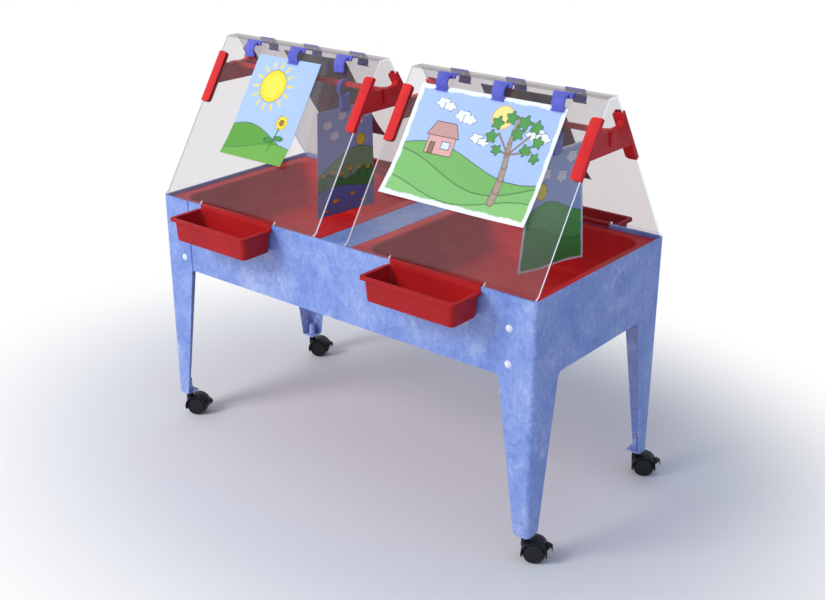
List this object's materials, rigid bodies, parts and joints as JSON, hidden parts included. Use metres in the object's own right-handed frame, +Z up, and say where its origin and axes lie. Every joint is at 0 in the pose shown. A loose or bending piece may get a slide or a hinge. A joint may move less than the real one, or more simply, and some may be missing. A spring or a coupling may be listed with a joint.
{
  "type": "sand and water table",
  "caption": "Four-legged activity table on braked swivel casters, with lift-out sand and water tubs, hook-on trays and clear tent-shaped painting easels that hold paper.",
  "frame": {"origin": "on the floor under the middle of the table", "axes": "+X along the table's length, -Y towards its front, +Z up"},
  "size_m": [1.2095, 0.7336, 1.0136],
  "materials": {
    "blue_paint": "mottled satin powder coat",
    "white_head": "satin",
    "bright_steel": "zinc plated",
    "black_plastic": "fine grained",
    "wheel_plastic": "smooth",
    "red_plastic": "fine grained",
    "clear_plastic": "polished",
    "red_brace_plastic": "satin",
    "blue_clip_plastic": "satin",
    "paper": "plain paper"
  },
  "bodies": {
    "frame": {"left_end_frame": "blue_paint", "right_end_frame": "blue_paint", "front_apron": "blue_paint", "rear_apron": "blue_paint", "centre_divider": "blue_paint", "leg_bolts": "white_head", "leg_nuts": "bright_steel", "divider_rivets": "bright_steel", "bracket_rivets": "blue_paint", "caster_bracket_fl": "blue_paint", "caster_bracket_fr": "blue_paint", "caster_bracket_rl": "blue_paint", "caster_bracket_rr": "blue_paint"},
    "caster_fl": {"caster_stem_fl": "bright_steel", "caster_hood_fl": "black_plastic", "caster_axle_fl": "bright_steel"},
    "near_wheel_fl": {"near_wheel_fl": "wheel_plastic"},
    "far_wheel_fl": {"far_wheel_fl": "wheel_plastic"},
    "brake_fl": {"brake_lever_fl": "black_plastic"},
    "caster_fr": {"caster_stem_fr": "bright_steel", "caster_hood_fr": "black_plastic", "caster_axle_fr": "bright_steel"},
    "near_wheel_fr": {"near_wheel_fr": "wheel_plastic"},
    "far_wheel_fr": {"far_wheel_fr": "wheel_plastic"},
    "brake_fr": {"brake_lever_fr": "black_plastic"},
    "caster_rl": {"caster_stem_rl": "bright_steel", "caster_hood_rl": "black_plastic", "caster_axle_rl": "bright_steel"},
    "near_wheel_rl": {"near_wheel_rl": "wheel_plastic"},
    "far_wheel_rl": {"far_wheel_rl": "wheel_plastic"},
    "brake_rl": {"brake_lever_rl": "black_plastic"},
    "caster_rr": {"caster_stem_rr": "bright_steel", "caster_hood_rr": "black_plastic", "caster_axle_rr": "bright_steel"},
    "near_wheel_rr": {"near_wheel_rr": "wheel_plastic"},
    "far_wheel_rr": {"far_wheel_rr": "wheel_plastic"},
    "brake_rr": {"brake_lever_rr": "black_plastic"},
    "left_tub": {"left_tub": "red_plastic"},
    "right_tub": {"right_tub": "red_plastic"},
    "front_left_tray": {"front_left_tray": "red_plastic"},
    "front_right_tray": {"front_right_tray": "red_plastic"},
    "rear_left_tray": {"rear_left_tray": "red_plastic"},
    "rear_right_tray": {"rear_right_tray": "red_plastic"},
    "left_easel": {"left_easel_sheet": "clear_plastic", "left_easel_outer_brace": "red_brace_plastic", "left_easel_inner_brace": "red_brace_plastic", "left_easel_rail": "red_brace_plastic", "left_easel_clips": "blue_clip_plastic", "left_easel_papers": "paper"},
    "left_hanging_sheet": {"left_hook_clip": "blue_clip_plastic", "left_hanging_paper": "paper"},
    "right_easel": {"right_easel_sheet": "clear_plastic", "right_easel_outer_brace": "red_brace_plastic", "right_easel_inner_brace": "red_brace_plastic", "right_easel_rail": "red_brace_plastic", "right_easel_clips": "blue_clip_plastic", "right_easel_papers": "paper"},
    "right_hanging_sheet": {"right_hook_clip": "blue_clip_plastic", "right_hanging_paper": "paper"}
  },
  "joints": [
    {"name": "swivel_fl", "type": "hinge", "parent": "frame", "child": "caster_fl", "pos_m": [-0.564, -0.2465, 0.08], "axis": [0, 0, 1], "continuous": true},
    {"name": "near_roll_fl", "type": "hinge", "parent": "caster_fl", "child": "near_wheel_fl", "pos_m": [-0.54495, -0.2355, 0.025], "axis": [0.5, -0.866, 0], "continuous": true},
    {"name": "far_roll_fl", "type": "hinge", "parent": "caster_fl", "child": "far_wheel_fl", "pos_m": [-0.54495, -0.2355, 0.025], "axis": [0.5, -0.866, 0], "continuous": true},
    {"name": "brake_fl", "type": "hinge", "parent": "caster_fl", "child": "brake_fl", "pos_m": [-0.51789, -0.21988, 0.03891], "axis": [-0.5, 0.866, 0], "range_deg": [0, 18]},
    {"name": "swivel_fr", "type": "hinge", "parent": "frame", "child": "caster_fr", "pos_m": [0.564, -0.2465, 0.08], "axis": [0, 0, 1], "continuous": true},
    {"name": "near_roll_fr", "type": "hinge", "parent": "caster_fr", "child": "near_wheel_fr", "pos_m": [0.58305, -0.2355, 0.025], "axis": [0.5, -0.866, 0], "continuous": true},
    {"name": "far_roll_fr", "type": "hinge", "parent": "caster_fr", "child": "far_wheel_fr", "pos_m": [0.58305, -0.2355, 0.025], "axis": [0.5, -0.866, 0], "continuous": true},
    {"name": "brake_fr", "type": "hinge", "parent": "caster_fr", "child": "brake_fr", "pos_m": [0.61011, -0.21988, 0.03891], "axis": [-0.5, 0.866, 0], "range_deg": [0, 18]},
    {"name": "swivel_rl", "type": "hinge", "parent": "frame", "child": "caster_rl", "pos_m": [-0.564, 0.2465, 0.08], "axis": [0, 0, 1], "continuous": true},
    {"name": "near_roll_rl", "type": "hinge", "parent": "caster_rl", "child": "near_wheel_rl", "pos_m": [-0.54495, 0.2575, 0.025], "axis": [0.5, -0.866, 0], "continuous": true},
    {"name": "far_roll_rl", "type": "hinge", "parent": "caster_rl", "child": "far_wheel_rl", "pos_m": [-0.54495, 0.2575, 0.025], "axis": [0.5, -0.866, 0], "continuous": true},
    {"name": "brake_rl", "type": "hinge", "parent": "caster_rl", "child": "brake_rl", "pos_m": [-0.51789, 0.27312, 0.03891], "axis": [-0.5, 0.866, 0], "range_deg": [0, 18]},
    {"name": "swivel_rr", "type": "hinge", "parent": "frame", "child": "caster_rr", "pos_m": [0.564, 0.2465, 0.08], "axis": [0, 0, 1], "continuous": true},
    {"name": "near_roll_rr", "type": "hinge", "parent": "caster_rr", "child": "near_wheel_rr", "pos_m": [0.58305, 0.2575, 0.025], "axis": [0.5, -0.866, 0], "continuous": true},
    {"name": "far_roll_rr", "type": "hinge", "parent": "caster_rr", "child": "far_wheel_rr", "pos_m": [0.58305, 0.2575, 0.025], "axis": [0.5, -0.866, 0], "continuous": true},
    {"name": "brake_rr", "type": "hinge", "parent": "caster_rr", "child": "brake_rr", "pos_m": [0.61011, 0.27312, 0.03891], "axis": [-0.5, 0.866, 0], "range_deg": [0, 18]},
    {"name": "left_tub_lift", "type": "slide", "parent": "frame", "child": "left_tub", "axis": [0, 0, 1], "range_m": [0, 0.012]},
    {"name": "right_tub_lift", "type": "slide", "parent": "frame", "child": "right_tub", "axis": [0, 0, 1], "range_m": [0, 0.012]},
    {"name": "front_left_tray_lift", "type": "slide", "parent": "frame", "child": "front_left_tray", "axis": [0, 0, 1], "range_m": [0, 0.06]},
    {"name": "front_right_tray_lift", "type": "slide", "parent": "frame", "child": "front_right_tray", "axis": [0, 0, 1], "range_m": [0, 0.06]},
    {"name": "rear_left_tray_lift", "type": "slide", "parent": "frame", "child": "rear_left_tray", "axis": [0, 0, 1], "range_m": [0, 0.06]},
    {"name": "rear_right_tray_lift", "type": "slide", "parent": "frame", "child": "rear_right_tray", "axis": [0, 0, 1], "range_m": [0, 0.06]},
    {"name": "left_easel_lift", "type": "slide", "parent": "frame", "child": "left_easel", "axis": [0, 0, 1], "range_m": [0, 0.2]},
    {"name": "left_hanging_sheet_slide", "type": "slide", "parent": "left_easel", "child": "left_hanging_sheet", "axis": [1, 0, 0], "range_m": [-0.36, 0.09]},
    {"name": "right_easel_lift", "type": "slide", "parent": "frame", "child": "right_easel", "axis": [0, 0, 1], "range_m": [0, 0.2]},
    {"name": "right_hanging_sheet_slide", "type": "slide", "parent": "right_easel", "child": "right_hanging_sheet", "axis": [1, 0, 0], "range_m": [-0.36, 0.09]}
  ]
}
